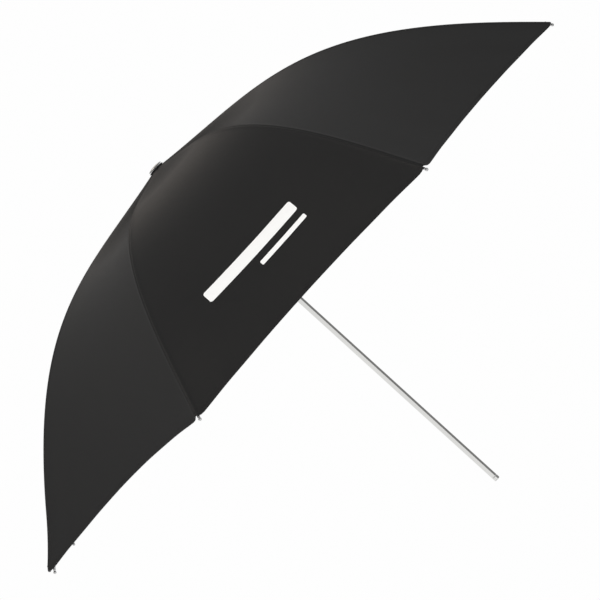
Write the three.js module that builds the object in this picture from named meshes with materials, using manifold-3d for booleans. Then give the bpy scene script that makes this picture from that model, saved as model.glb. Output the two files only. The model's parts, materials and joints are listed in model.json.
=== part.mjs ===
// Umbrella reflector: a chromed shaft, a crown and a sliding runner, eight folding ribs with their
// stretchers, and a canopy of eight gores. Millimetres, +Z up along the shaft. The origin is the centre
// of the shaft's free end, where the reflector is gripped. Front is -Y, the middle of one gore.
import * as THREE from 'three';
import { mergeVertices } from 'three/addons/utils/BufferGeometryUtils.js';
import Module from 'manifold-3d';

const wasm = await Module();
wasm.setup();

// Driving dimensions.
const RIBS = 8;
const TIP_RADIUS = 425; // half the reflector's stated size across opposite tips
const TIP_HEIGHT = 301; // tips above the shaft's free end
const CANOPY_RISE = 217; // apex above the tips
const SHAFT_RADIUS = 3.5;
const SHAFT_BORE = 2.9;
const FIT = 0.3; // running gap between pieces
const HALF_GORE = Math.PI / RIBS;
const FIRST_RIB_AZIMUTH = -Math.PI / 2 + HALF_GORE;

// The canopy over a rib, from the apex to the tip, in the rib's own plane (out, up).
const canopyLine = new THREE.CubicBezierCurve(
  new THREE.Vector2(0, TIP_HEIGHT + CANOPY_RISE),
  new THREE.Vector2(0.384 * TIP_RADIUS, TIP_HEIGHT + CANOPY_RISE - 29),
  new THREE.Vector2(0.565 * TIP_RADIUS, TIP_HEIGHT + CANOPY_RISE - 7),
  new THREE.Vector2(TIP_RADIUS, TIP_HEIGHT),
);
const CLOTH = 0.8; // plain thickness of the canopy solids
const GORE_SAG = 0.0155; // how far a gore's middle draws in, as a share of its radius
const HEM = 0.993; // where the hem crosses a rib, as a share of the line
const HEM_SCALLOP = 0.009; // how much earlier it crosses the middle of a gore

// The crown hinge, the stretcher's pin on the rib and the runner hinge form an isosceles triangle,
// so a rib and its stretcher always lean by the same angle.
const HINGE_RADIUS = 10;
const CLIP_RADIUS = 190;
const RIB_DROP = 3; // rib's centre line below the canopy's outside
const CLIP_DROP = 4;
const crownHinge = new THREE.Vector2(HINGE_RADIUS, TIP_HEIGHT + CANOPY_RISE - 7);
const CLIP_SHARE = shareAtRadius(CLIP_RADIUS);
const clipPin = under(CLIP_SHARE, CLIP_DROP);
const runnerHinge = new THREE.Vector2(HINGE_RADIUS, 2 * clipPin.y - crownHinge.y);

const BAR_HALF_HEIGHT = 1.2;
const RIB_SIDE = 1; // half the rib's thickness
const OUTER_CHEEK_SIDE = 2.3; // outside of the outer rib's fork
const FORK_SIDE = 3.6; // outside of the stretcher's fork
const PIN_RADIUS = 0.8;
const STRETCHER_END = 1.7; // radius of a stretcher's round inner end
const WIRE_RADIUS = 0.5;
const TIP_LENGTH = 9;
const TIP_BALL = 1.7;
const TIP_DROP = 2.8;

const RUNNER_WIRE_RADIUS = 7.5; // ring radius, just inside the stretchers' round ends
const RUNNER_BELOW_HINGE = 34;
const FLANGE_HALF_HEIGHT = 3.5;
const FLANGE_RADIUS = 12;
const CATCH_LENGTH = 20;
const CATCH_TOP = runnerHinge.y - RUNNER_BELOW_HINGE - FIT;
const STOP_PIN_HEIGHT = runnerHinge.y + 7;

function material(color, roughness, metalness) {
  return new THREE.MeshStandardMaterial({ color, roughness, metalness });
}

const chrome = material(0xd9dadb, 0.12, 1);
const steel = material(0xb4b5b6, 0.3, 1);
const blackPlastic = material(0x18181a, 0.5, 0);
const blackCloth = material(0x1d1d1f, 0.7, 0);

// Where the canopy line reaches a radius, found by halving.
function shareAtRadius(radius) {
  let low = 0;
  let high = 1;
  while (high - low > 1e-7) {
    const middle = (low + high) / 2;
    if (canopyLine.getPoint(middle).x < radius) low = middle;
    else high = middle;
  }
  return low;
}

// A point below the canopy line, square to it.
function under(share, drop) {
  const tangent = canopyLine.getTangent(share);
  return canopyLine.getPoint(share).add(new THREE.Vector2(tangent.y, -tangent.x).multiplyScalar(drop));
}

// A closed three.js geometry as a solid for cutting and joining.
function solid(geometry) {
  geometry.deleteAttribute('normal');
  geometry.deleteAttribute('uv');
  const merged = mergeVertices(geometry, 1e-4);
  const kept = [];
  for (let i = 0; i < merged.index.count; i += 3) {
    const corners = [0, 1, 2].map((j) => merged.index.getX(i + j));
    if (new Set(corners).size === 3) kept.push(...corners);
  }
  return new wasm.Manifold(new wasm.Mesh({
    numProp: 3,
    vertProperties: merged.attributes.position.array,
    triVerts: new Uint32Array(kept),
  }));
}

function geometryOf(joined) {
  const { vertProperties, triVerts } = joined.getMesh();
  const geometry = new THREE.BufferGeometry();
  geometry.setAttribute('position', new THREE.BufferAttribute(vertProperties, 3));
  geometry.setIndex(new THREE.BufferAttribute(triVerts, 1));
  geometry.computeVertexNormals();
  return geometry;
}

// An outline in a rib's plane, thickened equally to both sides of it.
function plate(outline, halfThickness) {
  const geometry = new THREE.ExtrudeGeometry(outline, { depth: 2 * halfThickness, bevelEnabled: false });
  geometry.translate(0, 0, -halfThickness);
  geometry.rotateX(Math.PI / 2);
  return solid(geometry);
}

function disc(centre, radius, halfThickness) {
  const points = [];
  const sides = 10;
  for (let i = 0; i < sides; i += 1) {
    const turn = (i / sides) * 2 * Math.PI;
    points.push(new THREE.Vector2(centre.x + radius * Math.cos(turn), centre.y + radius * Math.sin(turn)));
  }
  return plate(new THREE.Shape(points), halfThickness);
}

// A bar of constant height along a line of points.
function bar(points, halfThickness) {
  const above = [];
  const below = [];
  points.forEach((point, i) => {
    const before = points[Math.max(i - 1, 0)];
    const after = points[Math.min(i + 1, points.length - 1)];
    const along = after.clone().sub(before).normalize().multiplyScalar(BAR_HALF_HEIGHT);
    above.push(new THREE.Vector2(point.x - along.y, point.y + along.x));
    below.unshift(new THREE.Vector2(point.x + along.y, point.y - along.x));
  });
  return plate(new THREE.Shape([...below, ...above]), halfThickness);
}

function lathe(profile, segments) {
  const geometry = new THREE.LatheGeometry(profile.map(([r, z]) => new THREE.Vector2(r, z)), segments);
  return geometry.rotateX(Math.PI / 2);
}

function ring(radius, height) {
  const geometry = new THREE.TorusGeometry(radius, WIRE_RADIUS, 6, 36);
  return geometry.translate(0, 0, height);
}

// Axial slots through a flange, one in the plane of each rib.
function cutRibSlots(flange, width, floorRadius, height) {
  const depth = FLANGE_RADIUS;
  let cut = flange;
  for (let k = 0; k < RIBS; k += 1) {
    const slot = new THREE.BoxGeometry(depth, width, 4 * FLANGE_HALF_HEIGHT);
    slot.translate(floorRadius + depth / 2, 0, height);
    slot.rotateZ(FIRST_RIB_AZIMUTH + 2 * k * HALF_GORE);
    cut = cut.subtract(solid(slot));
  }
  return cut;
}

function ribLine(fromShare, toShare, steps) {
  return Array.from({ length: steps + 1 }, (_, i) => under(
    fromShare + ((toShare - fromShare) * i) / steps,
    RIB_DROP,
  ));
}

// The inner half of a rib: an eye on the crown wire, a bar, and a riveted pin at the clip.
function innerRib() {
  const eyeRadius = 1.9;
  const headRadius = 1.7;
  const headSide = FORK_SIDE + FIT + 0.6;
  const spine = [crownHinge, ...ribLine(shareAtRadius(26), shareAtRadius(CLIP_RADIUS - 16), 5), clipPin];
  const heads = disc(clipPin, headRadius, headSide).subtract(disc(clipPin, 2 * headRadius, FORK_SIDE + FIT));
  return geometryOf(
    bar(spine, RIB_SIDE)
      .add(disc(crownHinge, eyeRadius, RIB_SIDE))
      .add(disc(clipPin, 2, RIB_SIDE))
      .subtract(disc(crownHinge, WIRE_RADIUS + 0.4, RIB_SIDE + 1))
      .add(disc(clipPin, PIN_RADIUS, headSide - 0.3))
      .add(heads),
  );
}

const endTangent = canopyLine.getTangent(1);
const tipBall = under(1, TIP_DROP).add(endTangent.clone().multiplyScalar(-TIP_BALL));
const tipBase = tipBall.clone().add(endTangent.clone().multiplyScalar(TIP_BALL - TIP_LENGTH));

// The outer half: a fork over the inner half's end, and a bar out to the tip.
function outerRib() {
  const forkEnd = under(CLIP_SHARE + 0.014, CLIP_DROP - 0.4);
  const barEnd = tipBase.clone().add(endTangent.clone().multiplyScalar(-FIT));
  const fork = bar([clipPin, forkEnd], OUTER_CHEEK_SIDE)
    .add(disc(clipPin, 2.2, OUTER_CHEEK_SIDE))
    .subtract(disc(clipPin, 2.9, RIB_SIDE + FIT))
    .subtract(disc(clipPin, PIN_RADIUS + FIT, OUTER_CHEEK_SIDE + 1));
  const middle = clipPin.clone().lerp(forkEnd, 0.5);
  const spine = [middle, ...ribLine(CLIP_SHARE + 0.03, HEM - 0.016, 8), barEnd];
  return geometryOf(fork.add(bar(spine, RIB_SIDE)));
}

// A stretcher: a fork over both halves of the rib, and a bar in to the runner.
function stretcher() {
  const inwards = runnerHinge.clone().sub(clipPin).normalize();
  const along = (distance) => clipPin.clone().add(inwards.clone().multiplyScalar(distance));
  const fork = bar([clipPin, along(15)], FORK_SIDE)
    .add(disc(clipPin, 2.2, FORK_SIDE))
    .subtract(disc(clipPin, 10, OUTER_CHEEK_SIDE + FIT))
    .subtract(disc(clipPin, PIN_RADIUS + FIT, FORK_SIDE + 1));
  return geometryOf(
    fork.add(bar([along(12), runnerHinge], BAR_HALF_HEIGHT))
      .add(disc(runnerHinge, STRETCHER_END, BAR_HALF_HEIGHT)),
  );
}

// A metal tip with a small ball, on the end of the outer rib.
function ribTip() {
  const sleeve = 1.4;
  const neck = 0.9;
  const profile = [[0, 0], [sleeve, 0], [sleeve, 5], [neck, 5.6]];
  const steps = 4;
  for (let i = 0; i <= steps; i += 1) {
    const turn = -0.3 * Math.PI + (0.8 * Math.PI * i) / steps;
    const out = i === steps ? 0 : TIP_BALL * Math.cos(turn);
    profile.push([out, TIP_LENGTH - TIP_BALL + TIP_BALL * Math.sin(turn)]);
  }
  const geometry = lathe(profile, 8);
  geometry.rotateY(Math.PI / 2 - Math.atan2(endTangent.y, endTangent.x));
  return geometry.translate(tipBase.x, 0, tipBase.y);
}

// A point of the canopy over the rib at azimuth 0. across runs from -1 to 1: 0 is the rib's seam, and
// -1 and 1 are the middles of the gores at its sides, where the cloth draws in between the ribs.
function canopyPoint(share, across, depth) {
  const over = canopyLine.getPoint(share);
  const tangent = canopyLine.getTangent(share);
  const side = Math.abs(across);
  const inwards = GORE_SAG * over.x * side * (2 - side) + depth;
  const sine = Math.sin(HALF_GORE);
  const turn = across * HALF_GORE;
  const gap = side === 1 ? Math.sign(across) * (FIT / 2) : 0;
  return [
    over.x * (1 - side * sine * sine) + tangent.y * inwards * Math.cos(turn),
    over.x * across * sine * Math.cos(HALF_GORE) + tangent.y * inwards * Math.sin(turn) - gap,
    over.y - tangent.x * inwards,
  ];
}

// One patch of canopy, from the middle of one gore to the middle of the next, as a thin closed shell.
// The hem curves up towards the apex between the ribs.
function canopyPatch(fromShare, toShare, scallop, steps) {
  const columns = [-1, -0.5, 0, 0.5, 1];
  const positions = [];
  for (const depth of [0, CLOTH]) {
    for (let i = 0; i <= steps; i += 1) {
      for (const across of columns) {
        const end = toShare - scallop * Math.abs(across) * (2 - Math.abs(across));
        positions.push(...canopyPoint(fromShare + ((end - fromShare) * i) / steps, across, depth));
      }
    }
  }
  const layer = (steps + 1) * columns.length;
  const at = (side, i, j) => side * layer + i * columns.length + j;
  const faces = [];
  const quad = (a, b, c, d) => faces.push(a, b, c, a, c, d);
  const last = columns.length - 1;
  for (let i = 0; i < steps; i += 1) {
    for (let j = 0; j < last; j += 1) {
      quad(at(0, i, j), at(0, i + 1, j), at(0, i + 1, j + 1), at(0, i, j + 1));
      quad(at(1, i, j), at(1, i, j + 1), at(1, i + 1, j + 1), at(1, i + 1, j));
    }
    quad(at(0, i, 0), at(1, i, 0), at(1, i + 1, 0), at(0, i + 1, 0));
    quad(at(0, i, last), at(0, i + 1, last), at(1, i + 1, last), at(1, i, last));
  }
  for (let j = 0; j < last; j += 1) {
    quad(at(0, 0, j), at(0, 0, j + 1), at(1, 0, j + 1), at(1, 0, j));
    quad(at(0, steps, j), at(1, steps, j), at(1, steps, j + 1), at(0, steps, j + 1));
  }
  const geometry = new THREE.BufferGeometry();
  geometry.setAttribute('position', new THREE.Float32BufferAttribute(positions, 3));
  geometry.setIndex(faces);
  geometry.computeVertexNormals();
  return geometry;
}

// The shaft: a chromed tube with a slot for the catch and a cross hole for the stop pin.
function shaft() {
  const top = TIP_HEIGHT + CANOPY_RISE - 2.5;
  const edge = 0.5;
  const tube = solid(lathe([
    [SHAFT_BORE, 0], [SHAFT_RADIUS - edge, 0], [SHAFT_RADIUS, edge], [SHAFT_RADIUS, top], [SHAFT_BORE, top],
    [SHAFT_BORE, 0],
  ], 24));
  const slotHeight = CATCH_LENGTH;
  const slot = new THREE.BoxGeometry(2 * SHAFT_RADIUS, 2 * RIB_SIDE, slotHeight);
  slot.translate(SHAFT_RADIUS, 0, CATCH_TOP + 0.6 - slotHeight / 2);
  const hole = new THREE.CylinderGeometry(PIN_RADIUS + FIT, PIN_RADIUS + FIT, 4 * SHAFT_RADIUS, 12);
  hole.translate(0, 0, STOP_PIN_HEIGHT);
  return geometryOf(tube.subtract(solid(slot)).subtract(solid(hole)));
}

function stopPin() {
  const reach = SHAFT_RADIUS + 1.2;
  return new THREE.CylinderGeometry(PIN_RADIUS, PIN_RADIUS, 2 * reach, 12).translate(0, 0, STOP_PIN_HEIGHT);
}

// The plug that closes the shaft's free end, with a small centre dimple.
function shaftPlug() {
  const body = SHAFT_BORE - FIT;
  return lathe([[0, 1.2], [0.7, 0.4], [0.7, 0], [body - 0.3, 0], [body, 0.3], [body, 14], [0, 14]], 20);
}

// The catch: a sprung blade in the shaft. Its nose holds the runner up, and pressing it in frees the runner.
function catchBlade() {
  const foot = CATCH_TOP - CATCH_LENGTH;
  const outline = new THREE.Shape([
    new THREE.Vector2(0.2, foot - 2), new THREE.Vector2(2.3, foot - 2), new THREE.Vector2(2.4, foot + 5),
    new THREE.Vector2(5.8, CATCH_TOP - 3), new THREE.Vector2(5.8, CATCH_TOP),
    new THREE.Vector2(0.9, CATCH_TOP), new THREE.Vector2(0.2, CATCH_TOP - 4),
  ]);
  return geometryOf(plate(outline, 0.6));
}

// The crown: a grooved and slotted collar that holds the ribs' eyes on their wire.
function crown() {
  const z = crownHinge.y;
  const bore = SHAFT_RADIUS + FIT;
  const groove = WIRE_RADIUS + 0.4;
  const floor = 7.6;
  const collar = solid(lathe([
    [bore, z - 12], [6.4, z - 12], [6.4, z - 4.5], [FLANGE_RADIUS, z - FLANGE_HALF_HEIGHT],
    [FLANGE_RADIUS, z - groove], [floor, z - groove], [floor, z + groove], [FLANGE_RADIUS, z + groove],
    [FLANGE_RADIUS, z + FLANGE_HALF_HEIGHT], [bore, z + FLANGE_HALF_HEIGHT], [bore, z - 12],
  ], 32));
  return geometryOf(cutRibSlots(collar, 2 * RIB_SIDE + 0.8, floor, z));
}

// The runner: a sleeve with a grip collar, and a grooved and slotted flange for the stretchers.
function runner() {
  const z = runnerHinge.y;
  const bottom = z - RUNNER_BELOW_HINGE;
  const bore = SHAFT_RADIUS + FIT;
  const sleeve = 6.2;
  const grip = HINGE_RADIUS - STRETCHER_END - FIT;
  const groove = WIRE_RADIUS + FIT;
  const floor = 6.7;
  const body = solid(lathe([
    [bore, bottom], [grip, bottom], [grip, bottom + 12], [sleeve, bottom + 15],
    [sleeve, z - 5], [FLANGE_RADIUS, z - FLANGE_HALF_HEIGHT],
    [FLANGE_RADIUS, z - groove], [floor, z - groove], [floor, z + groove], [FLANGE_RADIUS, z + groove],
    [FLANGE_RADIUS, z + FLANGE_HALF_HEIGHT], [bore, z + FLANGE_HALF_HEIGHT], [bore, bottom],
  ], 32));
  return geometryOf(cutRibSlots(body, 2 * BAR_HALF_HEIGHT + 0.8, floor, z));
}

// The rosette under the cap follows the canopy's slope.
function topWasher() {
  const z = TIP_HEIGHT + CANOPY_RISE;
  const bore = SHAFT_RADIUS + FIT;
  const rim = 10;
  return lathe([[bore, z - 0.2], [rim, z - 1.2], [rim, z - 0.2], [bore, z + 0.7], [bore, z - 0.2]], 36);
}

// The cap: a low button with a stem that closes the top of the shaft.
function topCap() {
  const z = TIP_HEIGHT + CANOPY_RISE + 1;
  const stem = SHAFT_BORE - FIT;
  return lathe([
    [0, z - 12], [stem, z - 12], [stem, z], [9.3, z], [9.3, z + 0.5], [8, z + 1.2], [6, z + 1.7], [4, z + 2],
    [0, z + 2],
  ], 36);
}

const reflector = new THREE.Group();

function place(name, geometry, look, azimuth = 0) {
  const mesh = new THREE.Mesh(geometry, look);
  mesh.name = name;
  mesh.rotation.z = azimuth;
  reflector.add(mesh);
}

place('shaft', shaft(), chrome);
place('shaft_plug', shaftPlug(), steel);
place('stop_pin', stopPin(), steel);
place('catch_blade', catchBlade(), steel);
place('crown', crown(), blackPlastic);
place('crown_wire', ring(HINGE_RADIUS, crownHinge.y), steel);
place('runner', runner(), blackPlastic);
place('runner_wire', ring(RUNNER_WIRE_RADIUS, runnerHinge.y), steel);
place('top_washer', topWasher(), blackPlastic);
place('top_cap', topCap(), chrome);

for (let k = 1; k <= RIBS; k += 1) {
  const azimuth = FIRST_RIB_AZIMUTH + 2 * (k - 1) * HALF_GORE;
  const seam = 0.0004; // half the gap between the two patches along a rib
  place(`rib_inner_${k}`, innerRib(), steel, azimuth);
  place(`rib_outer_${k}`, outerRib(), steel, azimuth);
  place(`rib_tip_${k}`, ribTip(), chrome, azimuth);
  place(`stretcher_${k}`, stretcher(), steel, azimuth);
  place(`canopy_inner_${k}`, canopyPatch(shareAtRadius(5), CLIP_SHARE - seam, 0, 5), blackCloth, azimuth);
  place(`canopy_outer_${k}`, canopyPatch(CLIP_SHARE + seam, HEM, HEM_SCALLOP, 7), blackCloth, azimuth);
}

export default reflector;
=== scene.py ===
"""Umbrella reflector: a slim chromed shaft, eight folding ribs with their stretchers, and a canopy
of black cloth with a silver lining. Metres, +Z up along the shaft, the front gore on -Y."""

import json
import math

import bmesh
import bpy
import numpy as np
from mathutils import Matrix, Quaternion, Vector


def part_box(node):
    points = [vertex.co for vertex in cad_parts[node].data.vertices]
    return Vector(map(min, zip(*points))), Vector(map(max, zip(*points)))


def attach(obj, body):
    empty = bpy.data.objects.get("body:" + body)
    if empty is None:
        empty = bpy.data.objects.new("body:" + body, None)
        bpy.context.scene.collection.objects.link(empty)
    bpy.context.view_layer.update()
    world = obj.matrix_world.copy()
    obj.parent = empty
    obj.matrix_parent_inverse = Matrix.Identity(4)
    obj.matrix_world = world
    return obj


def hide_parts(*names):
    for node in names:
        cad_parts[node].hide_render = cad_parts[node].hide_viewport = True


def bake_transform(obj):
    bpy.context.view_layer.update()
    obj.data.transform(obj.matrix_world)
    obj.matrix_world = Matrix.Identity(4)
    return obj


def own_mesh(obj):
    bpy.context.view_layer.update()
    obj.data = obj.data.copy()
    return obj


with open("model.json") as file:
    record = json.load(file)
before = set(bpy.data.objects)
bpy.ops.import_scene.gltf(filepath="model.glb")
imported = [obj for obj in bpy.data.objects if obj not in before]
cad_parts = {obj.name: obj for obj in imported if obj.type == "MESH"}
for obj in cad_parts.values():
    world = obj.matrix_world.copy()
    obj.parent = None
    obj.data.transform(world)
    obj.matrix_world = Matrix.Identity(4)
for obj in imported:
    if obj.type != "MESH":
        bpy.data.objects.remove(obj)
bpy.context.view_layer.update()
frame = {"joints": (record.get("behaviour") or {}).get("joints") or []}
joints = {joint["name"]: joint for joint in frame["joints"]}

# ---------------------------------------------------------------------------------------------------
# Camera: a long lens a little above the level of the rib tips, square to the front gore and rolled so
# that the shaft points down to the right.
TIP_HEIGHT = 0.301
aim = Vector((-0.0004, 0, TIP_HEIGHT - 0.0015))
camera_distance = 2.65
camera_azimuth = math.radians(1.85)
camera_elevation = math.radians(0.98)
towards = Vector((
    -math.sin(camera_azimuth) * math.cos(camera_elevation),
    -math.cos(camera_azimuth) * math.cos(camera_elevation),
    math.sin(camera_elevation),
))
camera = bpy.data.objects.new("camera", bpy.data.cameras.new("camera"))
camera.data.sensor_width = 36
camera.data.lens = 141.8
camera.location = aim + camera_distance * towards
camera.rotation_mode = "QUATERNION"
roll = Quaternion((0, 0, 1), math.radians(-47.72))
camera.rotation_quaternion = (-towards).to_track_quat("-Z", "Y") @ roll
bpy.context.scene.collection.objects.link(camera)
bpy.context.scene.camera = camera

# ---------------------------------------------------------------------------------------------------
# Studio: an even near-white floor that meets a near-white surround. Both are dimmer as lights than
# they look. Large soft lights stand above the canopy, behind it and in front of it, and a low ring of
# cards, seen only in reflections, puts one dark streak along the chrome.
bpy.context.scene.view_settings.view_transform = "Standard"
STUDIO_WHITE = (0.99, 0.99, 0.99, 1)


def feed(tree, node, **sockets):
    """Sets or links a node's inputs, where an underscore stands for a space."""
    for label, value in sockets.items():
        socket = node.inputs[label.replace("_", " ")]
        if isinstance(value, bpy.types.NodeSocket):
            tree.links.new(value, socket)
        else:
            socket.default_value = value


def add_node(tree, kind, settings=None, **sockets):
    """A new node with its settings made and its inputs fed."""
    node = tree.nodes.new(kind)
    for label, value in (settings or {}).items():
        setattr(node, label, value)
    feed(tree, node, **sockets)
    return node


def map_range(tree, value, **limits):
    return add_node(tree, "ShaderNodeMapRange", Value=value, **limits).outputs["Result"]


def seen_and_given(tree, seen, given):
    """A strength that is one value in view and another as light."""
    in_view = tree.nodes.new("ShaderNodeLightPath").outputs["Is Camera Ray"]
    return map_range(tree, in_view, To_Min=given, To_Max=seen)


def emitting(name, seen, given):
    """A material that gives light on its front, and is clear from behind."""
    material = bpy.data.materials.new(name)
    material.use_nodes = True
    tree = material.node_tree
    tree.nodes.clear()
    emission = add_node(tree, "ShaderNodeEmission", Color=STUDIO_WHITE,
                        Strength=seen_and_given(tree, seen, given))
    facing = tree.nodes.new("ShaderNodeNewGeometry")
    mix = add_node(tree, "ShaderNodeMixShader", Fac=facing.outputs["Backfacing"])
    tree.links.new(emission.outputs["Emission"], mix.inputs[1])
    tree.links.new(tree.nodes.new("ShaderNodeBsdfTransparent").outputs["BSDF"], mix.inputs[2])
    add_node(tree, "ShaderNodeOutputMaterial", Surface=mix.outputs["Shader"])
    return material


def staged(name, points, faces, materials, indices):
    """A mesh of the studio, with the material that each face's index names."""
    mesh = bpy.data.meshes.new(name)
    mesh.from_pydata(points, [], faces)
    for material in materials:
        mesh.materials.append(material)
    mesh.polygons.foreach_set("material_index", indices)
    stage = bpy.data.objects.new(name, mesh)
    bpy.context.scene.collection.objects.link(stage)
    return stage


FLOOR_HALF = 30
FLOOR_HEIGHT = -0.2
floor_corners = [(x * FLOOR_HALF, y * FLOOR_HALF, FLOOR_HEIGHT)
                 for x, y in ((-1, -1), (1, -1), (1, 1), (-1, 1))]
staged("floor", floor_corners, [(0, 1, 2, 3)], [emitting("pale_floor", 1, 0.5)], [0])

world = bpy.data.worlds.new("studio")
bpy.context.scene.world = world
world.use_nodes = True
background = world.node_tree.nodes["Background"]
feed(world.node_tree, background, Color=STUDIO_WHITE, Strength=seen_and_given(world.node_tree, 1, 0.35))

# The ring of cards: seen from the shaft, the dark one stands to the right.
CARD_RADIUS = 0.55
CARD_TOP = 0.28
CARDS = 48
dark_from, dark_to = math.radians(-62), math.radians(40)
ring_points, ring_faces, ring_cards = [], [], []
for i in range(CARDS):
    turn = 2 * math.pi * i / CARDS - math.pi
    for height in (FLOOR_HEIGHT, CARD_TOP):
        ring_points.append((CARD_RADIUS * math.cos(turn), CARD_RADIUS * math.sin(turn), height))
    j = (i + 1) % CARDS
    ring_faces.append((2 * i, 2 * i + 1, 2 * j + 1, 2 * j))
    ring_cards.append(1 if dark_from < turn < dark_to else 0)
cards = staged("cards", ring_points, ring_faces,
               [emitting("white_card", 0.9, 0.9), emitting("dark_card", 0.22, 0.22)], ring_cards)
cards.visible_camera = False
cards.visible_diffuse = False
cards.visible_shadow = False
cards.visible_transmission = False


def soft_light(name, place, size, power, colour):
    """A round area light that faces the object and stays out of view itself."""
    light = bpy.data.objects.new(name, bpy.data.lights.new(name, "AREA"))
    light.data.shape = "DISK"
    light.data.size = size
    light.data.energy = power
    light.data.color = colour
    light.location = place
    light.rotation_mode = "QUATERNION"
    light.rotation_quaternion = (aim - place).to_track_quat("-Z", "Y")
    light.visible_camera = False
    bpy.context.scene.collection.objects.link(light)
    return light


soft_light("top_light", Vector((-0.9, -0.7, 1.9)), 1.1, 6, (1, 0.92, 0.84))
soft_light("back_light", Vector((0.15, 1.9, 1.9)), 1.2, 1.1, (1, 0.8, 0.64))
front_light = soft_light("front_light", Vector((0.2, -3.4, 0.5)), 2.4, 95, (1, 1, 1))
front_light.visible_glossy = False

# ---------------------------------------------------------------------------------------------------
# Canopy: eight gores of black cloth with a silver lining, sewn together along the ribs and drawn tight
# between them. The cloth over each rib, from mid-gore to mid-gore, is in bands that follow the rib's
# two halves.
RIBS = 8
HALF_GORE = math.pi / RIBS
TIP_RADIUS = 0.425
CANOPY_RISE = 0.217
CLOTH_THICKNESS = 0.0004
HEM_FOLD = 0.0004
HEM_WIDTH = 0.0062
GORE_SAG = 0.0155
line_points = np.array([
    (0, TIP_HEIGHT + CANOPY_RISE),
    (0.384 * TIP_RADIUS, TIP_HEIGHT + CANOPY_RISE - 0.029),
    (0.565 * TIP_RADIUS, TIP_HEIGHT + CANOPY_RISE - 0.007),
    (TIP_RADIUS, TIP_HEIGHT),
])
clip_pin = np.array(joints["rib_1_straighten"]["pos_m"])
clip_radius = float(np.hypot(clip_pin[0], clip_pin[1]))


def canopy_line(share):
    """The canopy over a rib: points (out, up) and unit tangents at shares of its Bezier curve."""
    t = np.asarray(share, float)[..., None]
    s = 1 - t
    p0, p1, p2, p3 = line_points
    point = s**3 * p0 + 3 * s**2 * t * p1 + 3 * s * t**2 * p2 + t**3 * p3
    slope = s**2 * (p1 - p0) + 2 * s * t * (p2 - p1) + t**2 * (p3 - p2)
    return point, slope / np.linalg.norm(slope, axis=-1, keepdims=True)


table_share = np.linspace(0, 1, 3001)
table_point, _ = canopy_line(table_share)
table_length = np.concatenate([[0], np.cumsum(np.linalg.norm(np.diff(table_point, axis=0), axis=1))])
half_width_share = math.sin(HALF_GORE) * math.cos(HALF_GORE)

# Columns lie close together by the seam, in metres from it, and evenly over the rest of the half gore.
seam_columns = np.array([0, 0.3, 0.7, 1.2, 2, 3.2, 5, 8, 12, 18]) / 1000
OPEN_COLUMNS = 20
FULL_SEAM_WIDTH = 0.05
HEM_SHARE = 0.9994
SEAM_RIDGE = 0.00035
SEAM_DIP = 0.0005
CORNER_BLUNT, CORNER_WIDTH = 0.0036, 0.0085
NOTCH_DEPTH, NOTCH_WIDTH = 0.0012, 0.0016
# How far the cloth stands off a rib's end, over the last of its length, and the ribs where it differs.
LIFT_START, LIFT_LENGTH = 0.43, 0.056
USUAL_LIFT = 0.0014
end_lifts = {7: 0.0046, 2: 0.0004}
# Depth of each gore's scallop at the hem; gore k lies between rib k and the next.
scallops = dict(enumerate((0.0118, 0.014, 0.0135, 0.0145, 0.0135, 0.015, 0.0182, 0.0134), start=1))


def column_offsets(width):
    """Distances from the seam of one side's columns, where the half gore is this wide."""
    width = np.asarray(width, float)[..., None]
    near = seam_columns * np.minimum(1, width / FULL_SEAM_WIDTH)
    shares = np.arange(1, OPEN_COLUMNS + 1) / OPEN_COLUMNS
    last = near[..., -1:]
    return np.concatenate([near, last + (width - last) * shares], axis=-1)


def cut_length(sides):
    """How far along the canopy line each column meets the upright plane through the clip pin."""
    offsets = column_offsets(table_point[:, 0] * half_width_share)
    across = offsets / np.maximum(table_point[:, :1] * half_width_share, 1e-9)
    reach = table_point[:, :1] * (1 - np.minimum(across, 1) * math.sin(HALF_GORE) ** 2)
    return np.array([np.interp(clip_radius, reach[:, j], table_length) for j in range(sides)])


def hem_length(sides, scallop):
    """Where the hem lies on each column: a scallop, with blunt corners notched at the seam."""
    hem = np.interp(HEM_SHARE, table_share, table_length)
    width = np.interp(hem, table_length, table_point[:, 0]) * half_width_share
    offsets = column_offsets(width)[:sides]
    across = offsets / width
    corner = CORNER_BLUNT * np.clip(1 - offsets / CORNER_WIDTH, 0, None) ** 2
    notch = NOTCH_DEPTH * np.exp(-(offsets / NOTCH_WIDTH) ** 2)
    return hem - scallop * across * (2 - across) - corner - notch


def slack_over_rib(lengths, end_lift):
    """The cloth stands a little off the rib's end."""
    return end_lift * np.clip((lengths - LIFT_START) / LIFT_LENGTH, 0, 1) ** 2


def canopy_points(lengths, offsets, depth, end_lift=0):
    """Points of the cloth beside the rib at azimuth 0: at lengths along the canopy line, at offsets
    from the seam, and at a depth below the outside."""
    over, tangent = canopy_line(np.interp(lengths, table_length, table_share))
    width = over[..., 0] * half_width_share
    across = np.clip(offsets / width, 0, 1)
    fade = np.minimum(1, width / FULL_SEAM_WIDTH)
    ridge = SEAM_RIDGE * np.exp(-((offsets - 0.0017) / 0.001) ** 2)
    ridge -= SEAM_DIP * np.exp(-(offsets / 0.0005) ** 2)
    tension = 0.0004 * fade * np.sin(offsets * 115) * np.exp(-offsets / 0.05)
    tension *= np.clip((lengths - 0.30) / 0.19, 0, 1) ** 2
    drop = GORE_SAG * over[..., 0] * across * (2 - across) - ridge * fade + tension + depth
    drop -= slack_over_rib(lengths, end_lift) * (1 - across) ** 2
    turn = across * HALF_GORE
    return np.stack([
        over[..., 0] * (1 - across * math.sin(HALF_GORE) ** 2) + tangent[..., 1] * drop * np.cos(turn),
        offsets + tangent[..., 1] * drop * np.sin(turn),
        over[..., 1] - tangent[..., 0] * drop,
    ], axis=-1)


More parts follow.
